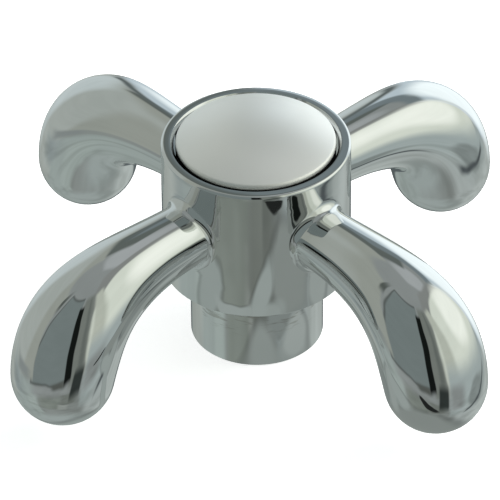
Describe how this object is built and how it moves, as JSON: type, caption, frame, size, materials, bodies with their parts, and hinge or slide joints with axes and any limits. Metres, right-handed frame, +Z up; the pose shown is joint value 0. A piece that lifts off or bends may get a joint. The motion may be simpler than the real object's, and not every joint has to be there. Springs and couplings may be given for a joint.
{
  "type": "cross tap handle",
  "caption": "Chrome cross handle for a tap: a round hub on a short neck, drop-shaped arms that bend down, a satin domed button on top and a splined bush below.",
  "frame": {"origin": "centre of the neck's foot, on the plane that the handle stands on", "axes": "+Z up the axis that the handle turns about, towards the button; the arms lie along X and Y"},
  "size_m": [0.0832, 0.0832, 0.0336],
  "materials": {
    "chrome_plate": "polished chrome plate",
    "satin_plate": "fine satin plate",
    "black_rubber": "matt moulded rubber",
    "plated_steel": "zinc plated",
    "turned_brass": "turned and broached"
  },
  "bodies": {
    "root": {"handle_body": "chrome_plate", "index_button": "satin_plate", "button_ring": "black_rubber", "handle_screw": "plated_steel", "spline_bush": "turned_brass"}
  },
  "joints": []
}
